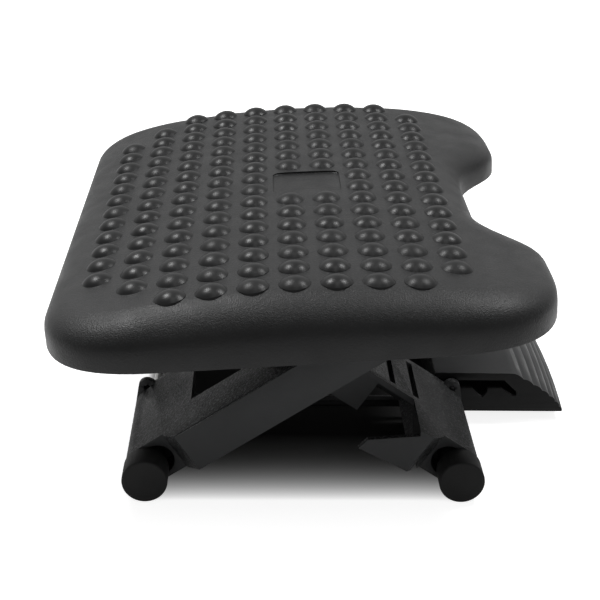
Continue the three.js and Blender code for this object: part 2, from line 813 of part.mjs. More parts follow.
function latchSlotCut() {
  const outline = [
    [-latchRodReach + latchRampRun, latchChannelTop],
    ...latchPocket(latchRodReach),
    ...latchPocket(latchRodReach + latchPitch),
    [-lastPocketRampStart, latchChannelFloor],
    [-lastPocketRampEnd, latchPocketKnee],
    [-lastPocketWall, latchPocketKnee],
    [-lastPocketWall, latchPocketKnee + latchWallPlay],
    [-lastPocketShoulder, latchChannelTop],
  ].reverse();
  return toSolid(barAlongX(outline, -pedalHalfWidth - cutOverrun, pedalHalfWidth + cutOverrun));
}

function pedalShellGeometry() {
  const shell = toSolid(bowed(barAlongX(pedalOutline(0, true), -pedalHalfWidth, pedalHalfWidth, 8)));
  const hollow = toSolid(bowed(barAlongX(
    pedalOutline(pedalWall, false), pedalWall - pedalHalfWidth, pedalHalfWidth - pedalWall, 8,
  )));
  const linkDoors = [-1, 1].map((side) => {
    const inner = pedalHalfWidth - pedalWall - linkThickness - 3 * sideGap;
    const ends = sortedEnds(side, inner, pedalHalfWidth - pedalWall);
    return toSolid(boxBetween(
      [ends[0], -pedalBackReach - 2 * pedalWall, pedalBottom - cutOverrun],
      [ends[1], -pedalBackReach + cutOverrun, linkHeight + linkHalfHeight + fitGap],
    ));
  });
  const rivetHoles = linkRivetReaches.map((reach) => toSolid(holeAlongX(
    rivetRadius, -pedalHalfWidth - cutOverrun, pedalHalfWidth + cutOverrun, -reach, linkHeight,
  )));
  return toGeometry(without(shell, [hollow, latchSlotCut(), ...linkDoors, ...rivetHoles]));
}

// A flat steel link joins each pedal side to the toe side foot rod
const linkOuterFace = pedalHalfWidth - pedalWall - sideGap;
const linkInnerFace = linkOuterFace - linkThickness;
function linkGeometry(side) {
  const ends = sortedEnds(side, linkInnerFace, linkOuterFace);
  const eye = toSolid(barAlongX(capsule(
    footPoint, linkEyeRadius, [footHalfSpan - 4 * linkEyeRadius, linkHeight], linkHalfHeight, 8,
  ), ...ends));
  const bar = toSolid(barAlongX(capsule(
    [footHalfSpan - 3 * linkEyeRadius, linkHeight], linkHalfHeight,
    [linkHalfHeight - linkEndReach, linkHeight], linkHalfHeight, 6,
  ), ...ends));
  const cutEnds = [ends[0] - cutOverrun, ends[1] + cutOverrun];
  const holes = linkRivetReaches.map(
    (reach) => toSolid(holeAlongX(rivetRadius, ...cutEnds, -reach, linkHeight)),
  );
  const rodHole = toSolid(holeAlongX(rodRadius, ...cutEnds, ...footPoint));
  return toGeometry(without(eye.add(bar), [rodHole, ...holes]));
}

function rivetGeometry(side, reach) {
  const inner = linkInnerFace - sideGap;
  const outer = pedalHalfWidth - rivetHeadHeight / 2;
  const profile = [
    [0, inner - rivetHeadHeight],
    [rivetHeadRadius, inner - rivetHeadHeight],
    [rivetHeadRadius, inner],
    [rivetRadius, inner],
    [rivetRadius, outer],
    [0, outer],
  ];
  const geometry = turnedAlongX(profile, 0, 0, 10);
  if (side < 0) geometry.rotateZ(Math.PI);
  return geometry.translate(0, -reach, linkHeight);
}

// Colours
const plasticColor = 0x2b2c2d;
const deckColor = 0x303132;
const rubberColor = 0x18191a;
const steelColor = 0x9a9da0;

// Toe side foot: the rod, its tubes, clips and spacers
const rodLimit = footOuterEnd - footEndCover - sideGap;
const toeRod = rodWithRoundedEnds(rodRadius, -rodLimit, rodLimit, ...footPoint);
addPiece(group, 'toe_foot_rod', toeRod, steelColor, 0.35, 0.9);
addPiece(group, 'toe_foot_tube_left', footTubeGeometry(-1), rubberColor, 0.7, 0);
addPiece(group, 'toe_foot_tube_right', footTubeGeometry(1), rubberColor, 0.7, 0);
const ringBore = (rodRadius + sideGap) / Math.cos(Math.PI / rodSides);
for (const [name, side] of [['left', -1], ['right', 1]]) {
  const clipOuter = linkInnerFace - sideGap;
  const clipEnds = sortedEnds(side, clipOuter - clipWidth, clipOuter);
  const clip = ringAlongX(ringBore, clipRadius, ...clipEnds, ...footPoint);
  addPiece(group, `toe_rod_clip_${name}`, clip, steelColor, 0.4, 0.9);
  const spacerEnds = sortedEnds(side, linkOuterFace + sideGap, legInnerFace - sideGap);
  const spacer = ringAlongX(ringBore, spacerRadius, ...spacerEnds, ...footPoint);
  addPiece(group, `toe_rod_spacer_${name}`, spacer, rubberColor, 0.7, 0);
}

// Leg frames, pivot pins and upper rods
const frameGeometry = legFrameGeometry();
addPiece(group, 'leg_frame_toe', frameGeometry, plasticColor, 0.6, 0);
const userSide = new THREE.Group();
userSide.rotation.z = Math.PI;
group.add(userSide);
addPiece(userSide, 'leg_frame_user', frameGeometry.clone(), plasticColor, 0.6, 0);
const pinOuter = legOuterFace - rodEndCover;
const pinInner = legInnerFace + sideGap;
const leftPin = rodWithRoundedEnds(rodRadius, -pinOuter, -pinInner, ...axlePoint);
addPiece(group, 'cross_pin_left', leftPin, steelColor, 0.35, 0.9);
const rightPin = rodWithRoundedEnds(rodRadius, pinInner, pinOuter, ...axlePoint);
addPiece(group, 'cross_pin_right', rightPin, steelColor, 0.35, 0.9);
const upperRod = rodWithRoundedEnds(rodRadius, -pinOuter, wideOuter - sideGap, ...topPoint);
addPiece(group, 'upper_rod_toe_frame', upperRod, steelColor, 0.35, 0.9);
addPiece(userSide, 'upper_rod_user_frame', upperRod.clone(), steelColor, 0.35, 0.9);
const latchPoint = [latchRodReach, latchRodHeight];
const latchRod = rodWithRoundedEnds(latchRodRadius, -latchRodEnd, latchRodEnd, ...latchPoint);
addPiece(userSide, 'latch_rod', latchRod, steelColor, 0.35, 0.9);

// User side feet turn on short pins, because the pedal takes the room between them
for (const [name, side] of [['left', 1], ['right', -1]]) {
  addPiece(userSide, `user_foot_tube_${name}`, footTubeGeometry(side), rubberColor, 0.7, 0);
  const ends = sortedEnds(side, legInnerFace + sideGap, rodLimit);
  const pin = rodWithRoundedEnds(rodRadius, ...ends, ...footPoint);
  addPiece(userSide, `user_foot_pin_${name}`, pin, steelColor, 0.35, 0.9);
}

// Carrier
addPiece(group, 'carrier_rail_left', railGeometry(-1), steelColor, 0.5, 0.8);
addPiece(group, 'carrier_rail_right', railGeometry(1), steelColor, 0.5, 0.8);
const tubeEnd = railOuterFace - railWidth - sideGap;
const boltEnd = railOuterFace + sideGap;
for (const [name, way] of [['toe', 1], ['user', -1]]) {
  const place = [way * spacerTubeReach, topHeight];
  const bore = (spacerBoltRadius + fitGap) / Math.cos(Math.PI / rodSides);
  const tube = ringAlongX(bore, spacerTubeRadius, -tubeEnd, tubeEnd, ...place);
  addPiece(group, `carrier_tube_${name}`, tube, plasticColor, 0.6, 0);
  const bolt = [
    [0, -boltEnd - spacerHeadHeight], [spacerHeadRadius, -boltEnd - spacerHeadHeight],
    [spacerHeadRadius, -boltEnd], [spacerBoltRadius, -boltEnd],
    [spacerBoltRadius, boltEnd], [spacerHeadRadius, boltEnd],
    [spacerHeadRadius, boltEnd + spacerHeadHeight], [0, boltEnd + spacerHeadHeight],
  ];
  addPiece(group, `carrier_bolt_${name}`, turnedAlongX(bolt, ...place, boltSides), steelColor, 0.35, 0.9);
}
const tiltEnd = railOuterFace + sideGap;
const tiltRod = rodWithRoundedEnds(rodRadius, -tiltEnd, tiltEnd, 0, topHeight);
addPiece(group, 'tilt_rod', tiltRod, steelColor, 0.35, 0.9);
for (const [name, side] of [['left', -1], ['right', 1]]) {
  const inner = lugOuterFace + sideGap;
  const ends = sortedEnds(side, inner, inner + frictionWasherWidth);
  const washer = ringAlongX(ringBore, frictionWasherRadius, ...ends, 0, topHeight);
  addPiece(group, `tilt_friction_washer_${name}`, washer, rubberColor, 0.8, 0);
}

// Deck, rocked about the tilt rod to the attitude of rest
const deck = new THREE.Group();
deck.position.z = topHeight;
deck.rotation.x = -deckRestTilt;
group.add(deck);
addPiece(deck, 'deck_shell', deckShellGeometry(), deckColor, 0.55, 0);
for (const [name, side] of [['left', -1], ['right', 1]]) {
  addPiece(deck, `tilt_lug_${name}`, lugGeometry(side), plasticColor, 0.6, 0);
  lugScrewPlaces(side).forEach((place, i) => {
    addPiece(deck, `lug_screw_${name}_${i + 1}`, lugScrewGeometry(place), steelColor, 0.4, 0.9);
  });
}

// Pedal
addPiece(group, 'pedal_shell', pedalShellGeometry(), plasticColor, 0.55, 0);
for (const [name, side] of [['left', -1], ['right', 1]]) {
  addPiece(group, `pedal_link_${name}`, linkGeometry(side), steelColor, 0.45, 0.85);
  linkRivetReaches.forEach((reach, i) => {
    addPiece(group, `pedal_rivet_${name}_${i + 1}`, rivetGeometry(side, reach), steelColor, 0.4, 0.9);
  });
}

// The origin is on the floor, under the middle of the whole object
const bounds = new THREE.Box3().setFromObject(group);
group.position.set(-(bounds.min.x + bounds.max.x) / 2, -(bounds.min.y + bounds.max.y) / 2, -bounds.min.z);
footrest.add(group);

export default footrest;
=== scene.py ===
"""Look of the tilting under desk footrest: finishes, rounded mouldings, turned steel and the studio."""
import json
import math

import bmesh
import bpy
from mathutils import Matrix, Vector


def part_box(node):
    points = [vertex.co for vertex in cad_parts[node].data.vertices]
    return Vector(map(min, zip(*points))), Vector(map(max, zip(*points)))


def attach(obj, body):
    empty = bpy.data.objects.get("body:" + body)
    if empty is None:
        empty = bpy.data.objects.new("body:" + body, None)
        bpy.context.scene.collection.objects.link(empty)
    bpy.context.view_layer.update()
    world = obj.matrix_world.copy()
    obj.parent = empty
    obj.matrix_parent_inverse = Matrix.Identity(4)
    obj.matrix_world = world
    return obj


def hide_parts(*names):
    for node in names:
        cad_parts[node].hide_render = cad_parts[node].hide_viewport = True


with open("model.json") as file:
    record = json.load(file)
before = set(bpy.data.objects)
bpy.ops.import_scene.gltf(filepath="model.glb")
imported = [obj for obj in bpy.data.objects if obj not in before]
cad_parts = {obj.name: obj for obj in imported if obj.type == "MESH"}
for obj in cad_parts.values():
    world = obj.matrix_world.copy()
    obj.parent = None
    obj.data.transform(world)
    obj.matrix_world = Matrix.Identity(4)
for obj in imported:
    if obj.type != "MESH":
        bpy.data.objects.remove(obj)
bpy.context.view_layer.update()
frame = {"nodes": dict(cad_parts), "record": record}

# Lengths are in millimetres until a matrix turns them into the frame's metres.
# The frame's origin lies ORIGIN_Y towards the user from the middle between the feet.
MM = 0.001
ORIGIN_Y = 13.3267
TOP_HEIGHT = 115.482
FOOT_HALF_SPAN = 102.2
FOOT_RADIUS = 14.8
LEG_OUTER_FACE = 186.0
LEG_INNER_FACE = 78.5
BLOCK_SKIN = 5.0
SIDE_GAP = 0.3
DECK_TILT = math.radians(3.93)
DECK_SHIFT = 1.8

ROW = Matrix.Scale(MM, 4) @ Matrix.Translation((0, ORIGIN_Y, 0))
DECK = ROW @ Matrix.Translation((0, 0, TOP_HEIGHT)) @ Matrix.Rotation(-DECK_TILT, 4, "X")
DECK_SHELL = DECK @ Matrix.Translation((0, DECK_SHIFT, 0))


# Camera
def add_camera():
    focal_px, picture_px, sensor, nearest, farthest = 1385.0, 600.0, 36.0, 0.05, 50
    pitch, yaw, roll = (math.radians(a) for a in (23.48, 1.928, -1.143))
    spot = ROW @ Vector((-959.0, 30.7, 476.7))
    forward = Vector((math.cos(yaw) * math.cos(pitch), -math.sin(yaw) * math.cos(pitch), -math.sin(pitch)))
    level = Vector((-math.sin(yaw), -math.cos(yaw), 0))
    up = level.cross(forward)
    right = math.cos(roll) * level - math.sin(roll) * up
    up = right.cross(forward)
    data = bpy.data.cameras.new("camera")
    data.sensor_width = sensor
    data.lens = sensor * focal_px / picture_px
    data.clip_start = nearest
    data.clip_end = farthest
    camera = bpy.data.objects.new("camera", data)
    camera.matrix_world = Matrix.Translation(spot) @ Matrix((right, up, -forward)).transposed().to_4x4()
    bpy.context.scene.collection.objects.link(camera)
    bpy.context.scene.camera = camera


# Materials
def node_material(name):
    material = bpy.data.materials.new(name)
    material.use_nodes = True
    tree = material.node_tree
    return material, tree, tree.nodes["Principled BSDF"]


def add_node(tree, kind, **values):
    """A node whose in_ values set its inputs and whose other values set its properties."""
    made = tree.nodes.new(kind)
    for key, value in values.items():
        if key.startswith("in_"):
            made.inputs[key[3:].replace("_", " ")].default_value = value
        else:
            setattr(made, key, value)
    return made


def calculate(tree, operation, *terms):
    """The output of a Math node fed by sockets or numbers."""
    made = tree.nodes.new("ShaderNodeMath")
    made.operation = operation
    for socket, term in zip(made.inputs, terms):
        if isinstance(term, bpy.types.NodeSocket):
            tree.links.new(term, socket)
        else:
            socket.default_value = term
    return made.outputs[0]


def ramp(tree, source, low, high, start=0.3, end=0.7):
    """The colour that goes from low to high while the source goes from start to end."""
    made = tree.nodes.new("ShaderNodeValToRGB")
    first, last = made.color_ramp.elements
    first.position, first.color = start, (*low, 1)
    last.position, last.color = end, (*high, 1)
    tree.links.new(source, made.inputs["Fac"])
    return made.outputs["Color"]


def grey(level, tint=1.02):
    """Three equal values, or a grey that a tint over 1 shifts towards blue."""
    return level, level * tint, level * tint * tint


def noise(tree, place, scale, detail=2.0, roughness=0.5):
    made = add_node(tree, "ShaderNodeTexNoise", in_Scale=scale, in_Detail=detail, in_Roughness=roughness)
    tree.links.new(place, made.inputs["Vector"])
    return made.outputs["Fac"]


def smooth_step(tree, value, low, high):
    made = add_node(tree, "ShaderNodeMapRange", interpolation_type="SMOOTHSTEP")
    made.inputs["From Min"].default_value = low
    made.inputs["From Max"].default_value = high
    tree.links.new(value, made.inputs["Value"])
    return made.outputs["Result"]


def moulded(name, color, rough, grain, depth, specular,
            spread=0.15, side_share=1.0, painted_side_tone=1.0, painted_glints=0.0):
    """Moulded plastic or rubber: cloudy colour, uneven gloss and a pebbled grain.

    The grain's size and depth are in millimetres. Faces square to X, which a mould's
    sliding sides leave smoother, keep only side_share of the depth; painted_side_tone
    scales their colour, painting light there above 1 and shade below 1. Painted glints,
    light specks in the colour, lie on the other faces.
    """
    cloud_scale, cloud_detail, cloud_roughness = 14.0, 4.0, 0.6
    gloss_scale, gloss_detail, gloss_swing = 55.0, 3.0, 0.06
    side_start, side_full, glint_start, glint_full = 0.7, 0.95, 0.5, 0.64
    glints_per_grain, wander_per_grain, pebble_softness = 0.8, 0.45, 0.6
    material, tree, shader = node_material(name)
    link = tree.links.new
    place = tree.nodes.new("ShaderNodeTexCoord").outputs["Object"]
    cloud = noise(tree, place, cloud_scale, cloud_detail, cloud_roughness)
    split = tree.nodes.new("ShaderNodeSeparateXYZ")
    link(tree.nodes.new("ShaderNodeNewGeometry").outputs["Normal"], split.inputs[0])
    across = calculate(tree, "ABSOLUTE", split.outputs["X"])
    sideways = smooth_step(tree, across, side_start, side_full)
    # Painted glints: light specks put into the colour on faces not square to X, standing in for the grain's
    # glints.
    glint_noise = noise(tree, place, glints_per_grain / (grain * MM))
    glint = smooth_step(tree, glint_noise, glint_start, glint_full)
    glint = calculate(tree, "MULTIPLY", glint, calculate(tree, "SUBTRACT", 1.0, sideways))
    painted_tone = calculate(tree, "MULTIPLY_ADD", glint, painted_glints, 1.0)
    # painted_side_tone paints light into faces square to X above 1 and shade into them below 1.
    painted_side_gain = calculate(tree, "MULTIPLY_ADD", sideways, painted_side_tone - 1.0, 1.0)
    painted_tone = calculate(tree, "MULTIPLY", painted_tone, painted_side_gain)
    dark, light = (tuple(c * (1 + k) for c in color) for k in (-spread, spread))
    base = tree.nodes.new("ShaderNodeVectorMath")
    base.operation = "SCALE"
    link(ramp(tree, cloud, dark, light), base.inputs[0])
    link(painted_tone, base.inputs["Scale"])
    link(base.outputs["Vector"], shader.inputs["Base Color"])
    gloss = noise(tree, place, gloss_scale, gloss_detail)
    low, high = (grey(rough + swing, 1.0) for swing in (-gloss_swing, gloss_swing))
    link(ramp(tree, gloss, low, high), shader.inputs["Roughness"])
    pebble = add_node(tree, "ShaderNodeTexVoronoi", in_Scale=1 / (grain * MM), feature="SMOOTH_F1")
    pebble.inputs["Smoothness"].default_value = pebble_softness
    link(place, pebble.inputs["Vector"])
    wander = noise(tree, place, wander_per_grain / (grain * MM))
    height = calculate(tree, "ADD", pebble.outputs["Distance"], wander)
    strength = calculate(tree, "MULTIPLY_ADD", sideways, side_share - 1.0, 1.0)
    bump = add_node(tree, "ShaderNodeBump", in_Distance=depth * MM)
    link(strength, bump.inputs["Strength"])
    link(height, bump.inputs["Height"])
    link(bump.outputs["Normal"], shader.inputs["Normal"])
    shader.inputs["Specular IOR Level"].default_value = specular
    return material


def plated_steel(name, color, rough):
    """Plated steel with faint drawn lines and a mottled sheen."""
    line_stretch, line_detail, line_strength, line_depth = (30, 900, 900), 3.0, 0.6, 0.04
    cloud_scale, cloud_detail, cloud_tone, smoother, rougher = 60.0, 4.0, 0.8, 0.08, 0.1
    material, tree, shader = node_material(name)
    link = tree.links.new
    place = tree.nodes.new("ShaderNodeTexCoord").outputs["Object"]
    stretch = add_node(tree, "ShaderNodeMapping")
    stretch.inputs["Scale"].default_value = line_stretch
    link(place, stretch.inputs["Vector"])
    lines = noise(tree, stretch.outputs["Vector"], 1.0, line_detail)
    cloud = noise(tree, place, cloud_scale, cloud_detail)
    dark = tuple(c * cloud_tone for c in color)
    link(ramp(tree, cloud, dark, color), shader.inputs["Base Color"])
    low, high = grey(rough - smoother, 1.0), grey(rough + rougher, 1.0)
    link(ramp(tree, lines, low, high), shader.inputs["Roughness"])
    bump = add_node(tree, "ShaderNodeBump", in_Strength=line_strength, in_Distance=line_depth * MM)
    link(lines, bump.inputs["Height"])
    link(bump.outputs["Normal"], shader.inputs["Normal"])
    shader.inputs["Metallic"].default_value = 1.0
    return material


# The deck and legs carry painted glints; painted_side_tone paints light on the legs' sides and shade on the
# pedal's sides.
DECK_SKIN = moulded("deck_skin", grey(0.0106), 0.45, 0.8, 0.15, specular=0.25, painted_glints=1.0)
DOME_SKIN = moulded("dome_skin", grey(0.0085), 0.37, 1.6, 0.012, specular=0.21)
LEG_SKIN = moulded("leg_skin", grey(0.0165), 0.5, 1.3, 0.26, specular=0.19,
                   spread=0.1, side_share=0.2, painted_side_tone=2.6, painted_glints=3.2)
PEDAL_SKIN = moulded("pedal_skin", grey(0.038), 0.42, 0.5, 0.04, specular=0.16, side_share=0.5, painted_side_tone=0.2)
RUBBER_SKIN = moulded("rubber_skin", grey(0.026, 1.0), 0.62, 0.5, 0.04, specular=0.12)
STEEL_SKIN = plated_steel("steel_skin", (0.42, 0.42, 0.41), 0.36)
# The pedal links and the latch rod get steel far darker than the other steel pieces.
DARK_STEEL_SKIN = plated_steel("dark_steel_skin", (0.035, 0.035, 0.036), 0.45)
SKINS = {"deck_plastic": DECK_SKIN, "leg_plastic": LEG_SKIN, "pedal_plastic": PEDAL_SKIN,
         "rubber": RUBBER_SKIN, "steel": STEEL_SKIN}
DARK_STEEL_NODES = ("pedal_link_left", "pedal_link_right", "latch_rod")
NODE_SLOTS = {row["node"]: row["material_slot"] for row in frame["record"]["subparts"]}
NODE_BODIES = {node: body for body, nodes in frame["record"]["behaviour"]["bodies"].items() for node in nodes}


# Mesh helpers
def smooth_group():
    """A modifier group that shades smooth and keeps edges sharper than its angle."""
    sharp_from = math.radians(32)
    group = bpy.data.node_groups.new("smooth_by_angle", "GeometryNodeTree")
    group.interface.new_socket("Geometry", in_out="INPUT", socket_type="NodeSocketGeometry")
    group.interface.new_socket("Geometry", in_out="OUTPUT", socket_type="NodeSocketGeometry")
    start = group.nodes.new("NodeGroupInput")
    end = group.nodes.new("NodeGroupOutput")
    faces = group.nodes.new("GeometryNodeSetShadeSmooth")
    edges = group.nodes.new("GeometryNodeSetShadeSmooth")
    edges.domain = "EDGE"
    angle = group.nodes.new("GeometryNodeInputMeshEdgeAngle")
    under = group.nodes.new("FunctionNodeCompare")
    under.operation = "LESS_THAN"
    under.inputs["B"].default_value = sharp_from
    link = group.links.new
    link(start.outputs[0], faces.inputs["Geometry"])
    link(faces.outputs[0], edges.inputs["Geometry"])
    link(angle.outputs["Unsigned Angle"], under.inputs["A"])
    link(under.outputs["Result"], edges.inputs["Shade Smooth"])
    link(edges.outputs[0], end.inputs[0])
    return group


SMOOTH = smooth_group()


def soften(obj, width=0.0):
    """Welds a mesh, rounds its corners by width millimetres and shades it smooth between them."""
    weld_distance, segments, flat_under, corner_from = 0.002, 2, math.radians(1), math.radians(34)
    weld = obj.modifiers.new("weld", "WELD")
    weld.merge_threshold = weld_distance * MM
    if width:
        flat = obj.modifiers.new("flat", "DECIMATE")
        flat.decimate_type = "DISSOLVE"
        flat.angle_limit = flat_under
        bevel = obj.modifiers.new("bevel", "BEVEL")
        bevel.width = width * MM
        bevel.segments = segments
        bevel.limit_method = "ANGLE"
        bevel.angle_limit = corner_from
        bevel.use_clamp_overlap = True
    obj.modifiers.new("smooth", "NODES").node_group = SMOOTH


def to_mesh(bm, name):
    mesh = bpy.data.meshes.new(name)
    bmesh.ops.recalc_face_normals(bm, faces=bm.faces)
    bm.to_mesh(mesh)
    bm.free()
    return mesh


def node_skin(node):
    return DARK_STEEL_SKIN if node in DARK_STEEL_NODES else SKINS[NODE_SLOTS[node]]


def put(name, mesh, matrix, body, slot, stands_for=(), skin=None):
    """Puts a mesh made in millimetres into the frame and onto its CAD body."""
    mesh.transform(matrix)
    mesh.materials.clear()
    mesh.materials.append(skin or SKINS[slot])
    obj = bpy.data.objects.new(name, mesh)
    bpy.context.scene.collection.objects.link(obj)
    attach(obj, body)
    if stands_for:
        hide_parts(*stands_for)
    return obj


def ring_surface(bm, rings):
    """Quads between closed rings of points with equal counts."""
    rows = [[bm.verts.new(p) for p in ring] for ring in rings]
    count = len(rows[0])
    for a, b in zip(rows, rows[1:]):
        for i in range(count):
            j = (i + 1) % count
            bm.faces.new((a[i], a[j], b[j], b[i]))
    return rows


def cap(bm, row, point):
    """Triangles from a ring of vertices to a point."""
    tip = bm.verts.new(point)
    for i, vert in enumerate(row):
        bm.faces.new((vert, row[(i + 1) % len(row)], tip))


def circle(radius, sides):
    """Points round a circle, which also serve as directions where the radius is 1."""
    turns = (2 * math.pi * i / sides for i in range(sides))
    return [(radius * math.cos(turn), radius * math.sin(turn)) for turn in turns]


def turned_x(bm, profile, y, z, sides=48):
    """A closed turned body along X from (radius, x) pairs that start and end on the axis."""
    rings = [[(x, y + a, z + b) for a, b in circle(r, sides)] for r, x in profile[1:-1]]
    rows = ring_surface(bm, rings)
    cap(bm, rows[0], (profile[0][1], y, z))
    cap(bm, rows[-1], (profile[-1][1], y, z))


def extruded_x(outline, x_values, bend=None):
    """A closed bar along X from (y, z) pairs, with a ring at each x value."""
    bm = bmesh.new()
    rings = [[(x, y, z) for y, z in outline] for x in x_values]
    if bend:
        rings = [[bend(p) for p in ring] for ring in rings]
    rows = ring_surface(bm, rings)
    bm.faces.new(rows[0])
    bm.faces.new(rows[-1])
    return to_mesh(bm, "bar")


def carve(target, cutters):
    """Cuts closed meshes out of a mesh and returns the result as a new mesh."""
    base = bpy.data.objects.new("carve_base", target)
    bpy.context.scene.collection.objects.link(base)
    tools = []
    for mesh in cutters:
        tool = bpy.data.objects.new("carve_tool", mesh)
        bpy.context.scene.collection.objects.link(tool)
        tools.append(tool)
        cut = base.modifiers.new("cut", "BOOLEAN")
        cut.object = tool
        cut.operation = "DIFFERENCE"
        cut.solver = "EXACT"
    graph = bpy.context.evaluated_depsgraph_get()
    made = bpy.data.meshes.new_from_object(base.evaluated_get(graph))
    for obj in (base, *tools):
        bpy.data.objects.remove(obj)
    return made


# Deck
HALF_LENGTH, HALF_WIDTH, WALL = 223.0, 162.4, 3.4
CROWN_HEIGHT, CROWN_RADIUS = 38.4, 729.0
# The rim bulges to its widest above its lower edge and then rolls over to the plate.
WIDEST_HEIGHT, RIM_DROP, ROLL_WIDTH = 9.2, 0.78, 27.0
INWARD_SHARE, UPWARD_SHARE = 1.45, 0.84
# Shares of the half length and half width that draw the outline seen from above.
TOE_FLAT, TOE_CORNER_PULL, TOE_END_PULL, END_FLAT_TOE = 0.6934, 0.8355, 0.9273, 0.5743
END_FLAT_USER, USER_END_PULL, USER_CORNER_PULL, LOBE = 0.4955, 0.9583, 0.8017, 0.6112
NOTCH_START, NOTCH_PULL_FAR, NOTCH_PULL_NEAR, NOTCH = 0.5372, 0.3777, 0.3515, 0.1461
NOTCH_FLOOR = 0.7762


def bezier(controls, steps):
    """Points along a curve with four controls."""
    points = []
    for i in range(steps + 1):
        t = i / steps
        s = 1 - t
        weights = (s**3, 3 * s * s * t, 3 * s * t * t, t**3)
        points.append(tuple(sum(w * p[k] for w, p in zip(weights, controls)) for k in (0, 1)))
    return points


def deck_outline(steps):
    """The outline seen from above, clockwise from the middle of the toe side.

    Single points inside its straight runs keep the faces there short.
    """
    half = [(0, 1), (0.347, 1)]
    half += bezier([(TOE_FLAT, 1), (TOE_CORNER_PULL, 1), (1, TOE_END_PULL), (1, END_FLAT_TOE)], steps)
    half += [(1, 0.29), (1, 0), (1, -0.25)]
    half += bezier([(1, -END_FLAT_USER), (1, -USER_END_PULL), (USER_CORNER_PULL, -1), (LOBE, -1)], steps)
    half += [(0.574, -1)]
    half += bezier([(NOTCH_START, -1), (NOTCH_PULL_FAR, -1), (NOTCH_PULL_NEAR, -NOTCH_FLOOR),
                    (NOTCH, -NOTCH_FLOOR)], steps)
    half += [(0.073, -NOTCH_FLOOR), (0, -NOTCH_FLOOR)]
    whole = half + [(-x, y) for x, y in reversed(half[1:-1])]
    return [(x * HALF_LENGTH, y * HALF_WIDTH) for x, y in whole]


def inset(outline, distance):
    """The outline moved inwards; its points run clockwise seen from above."""
    made = []
    for i, (x, y) in enumerate(outline):
        bx, by = outline[i - 1]
        ax, ay = outline[(i + 1) % len(outline)]
        first = Vector((y - by, bx - x)).normalized()
        second = Vector((ay - y, x - ax)).normalized()
        inward = (first + second).normalized()
        made.append((x + inward.x * distance, y + inward.y * distance))
    return made


def crown(y):
    """The height of the plate at a place across the deck."""
    return CROWN_HEIGHT - CROWN_RADIUS + math.sqrt(CROWN_RADIUS**2 - y * y)


def rim_rings(outline, wall, steps):
    """Rings of one skin of the rim, from its widest place up and over to the plate."""
    edge = inset(outline, ROLL_WIDTH)
    rings = []
    for i in range(steps + 1):
        angle = math.pi / 2 * i / steps
        inward = 1 - abs(math.cos(angle)) ** INWARD_SHARE
        upward = math.sin(angle) ** UPWARD_SHARE
        ring = inset(outline, wall + (ROLL_WIDTH - wall) * inward)
        rings.append([(x, y, WIDEST_HEIGHT + (crown(e[1]) - wall - WIDEST_HEIGHT) * upward)
                      for (x, y), e in zip(ring, edge)])
    return rings


def level_ring(outline, distance, z):
    return [(x, y, z) for x, y in inset(outline, distance)]


def deck_cover():
    """The deck's shell: its outside from the lower lip to the plate, its inside and its lower edge."""
    corner_steps, roll_steps, inner_roll_steps, plate_steps, ceiling_steps = 18, 12, 6, 12, 6
    lip, lip_cut = 0.8, 0.24
    bm = bmesh.new()
    outline = deck_outline(corner_steps)
    edge = inset(outline, ROLL_WIDTH)
    outer = [level_ring(outline, lip, -RIM_DROP),
             level_ring(outline, lip_cut, lip_cut - RIM_DROP),
             level_ring(outline, 0, lip - RIM_DROP)]
    outer += rim_rings(outline, 0, roll_steps)
    for k in range(1, plate_steps):
        share = 1 - k / plate_steps
        outer.append([(x * share, y * share, crown(y * share)) for x, y in edge])
    rows = ring_surface(bm, outer)
    cap(bm, rows[-1], (0, 0, crown(0)))
    inner = [level_ring(outline, WALL, -RIM_DROP)]
    inner += rim_rings(outline, WALL, inner_roll_steps)
    for k in range(1, ceiling_steps):
        share = 1 - k / ceiling_steps
        inner.append([(x * share, y * share, crown(y * share) - WALL) for x, y in edge])
    inner_rows = ring_surface(bm, inner)
    cap(bm, inner_rows[-1], (0, 0, crown(0) - WALL))
    for i in range(len(outline)):
        j = (i + 1) % len(outline)
        bm.faces.new((rows[0][i], rows[0][j], inner_rows[0][j], inner_rows[0][i]))
    mesh = carve(to_mesh(bm, "deck_cover"), [recess_tool()])
    soften(put("deck_cover", mesh, DECK_SHELL, "deck", "deck_plastic", ["deck_shell"]))


PITCH, ROWS, COLUMNS, GRID_SHIFT = 25.4, 16, 10, 16.4


def on_crown(across):
    """Turns a distance across the crowned plate into its place and lean."""
    angle = across / CROWN_RADIUS
    y = CROWN_RADIUS * math.sin(angle)
    return Matrix.Translation((0, y, crown(y))) @ Matrix.Rotation(-angle, 4, "X")


def recess_tool():
    """The cutter of the bare label recess."""
    length, width, depth, corner, above, draft, fillet = 46.0, 49.0, 1.8, 6.0, 3.0, 0.975, 0.6
    arc_steps = 6
    points = []
    for quarter, (sx, sy) in enumerate(((1, 1), (-1, 1), (-1, -1), (1, -1))):
        for i in range(arc_steps + 1):
            angle = (quarter + i / arc_steps) * math.pi / 2
            points.append((sx * (length / 2 - corner) + corner * math.cos(angle),
                           sy * (width / 2 - corner) + corner * math.sin(angle)))
    bm = bmesh.new()
    levels = ((-depth, draft), (fillet - depth, 1.0), (above, 1.0))
    rows = ring_surface(bm, [[(x * s, y * s, z) for x, y in points] for z, s in levels])
    bm.faces.new(rows[0])
    bm.faces.new(rows[-1])
    bmesh.ops.transform(bm, matrix=on_crown(GRID_SHIFT - PITCH), verts=bm.verts)
    return to_mesh(bm, "recess_tool")


def dome_places():
    """Places of the domes along and across the deck: the corners and the recess have none."""
    for column in range(COLUMNS):
        trim = {0: 2, 1: 1, COLUMNS - 1: 1}.get(column, 0)
        for row in range(trim, ROWS - trim):
            if column in (5, 6) and row in (7, 8):
                continue
            yield (row - (ROWS - 1) / 2) * PITCH, GRID_SHIFT + ((COLUMNS - 1) / 2 - column) * PITCH


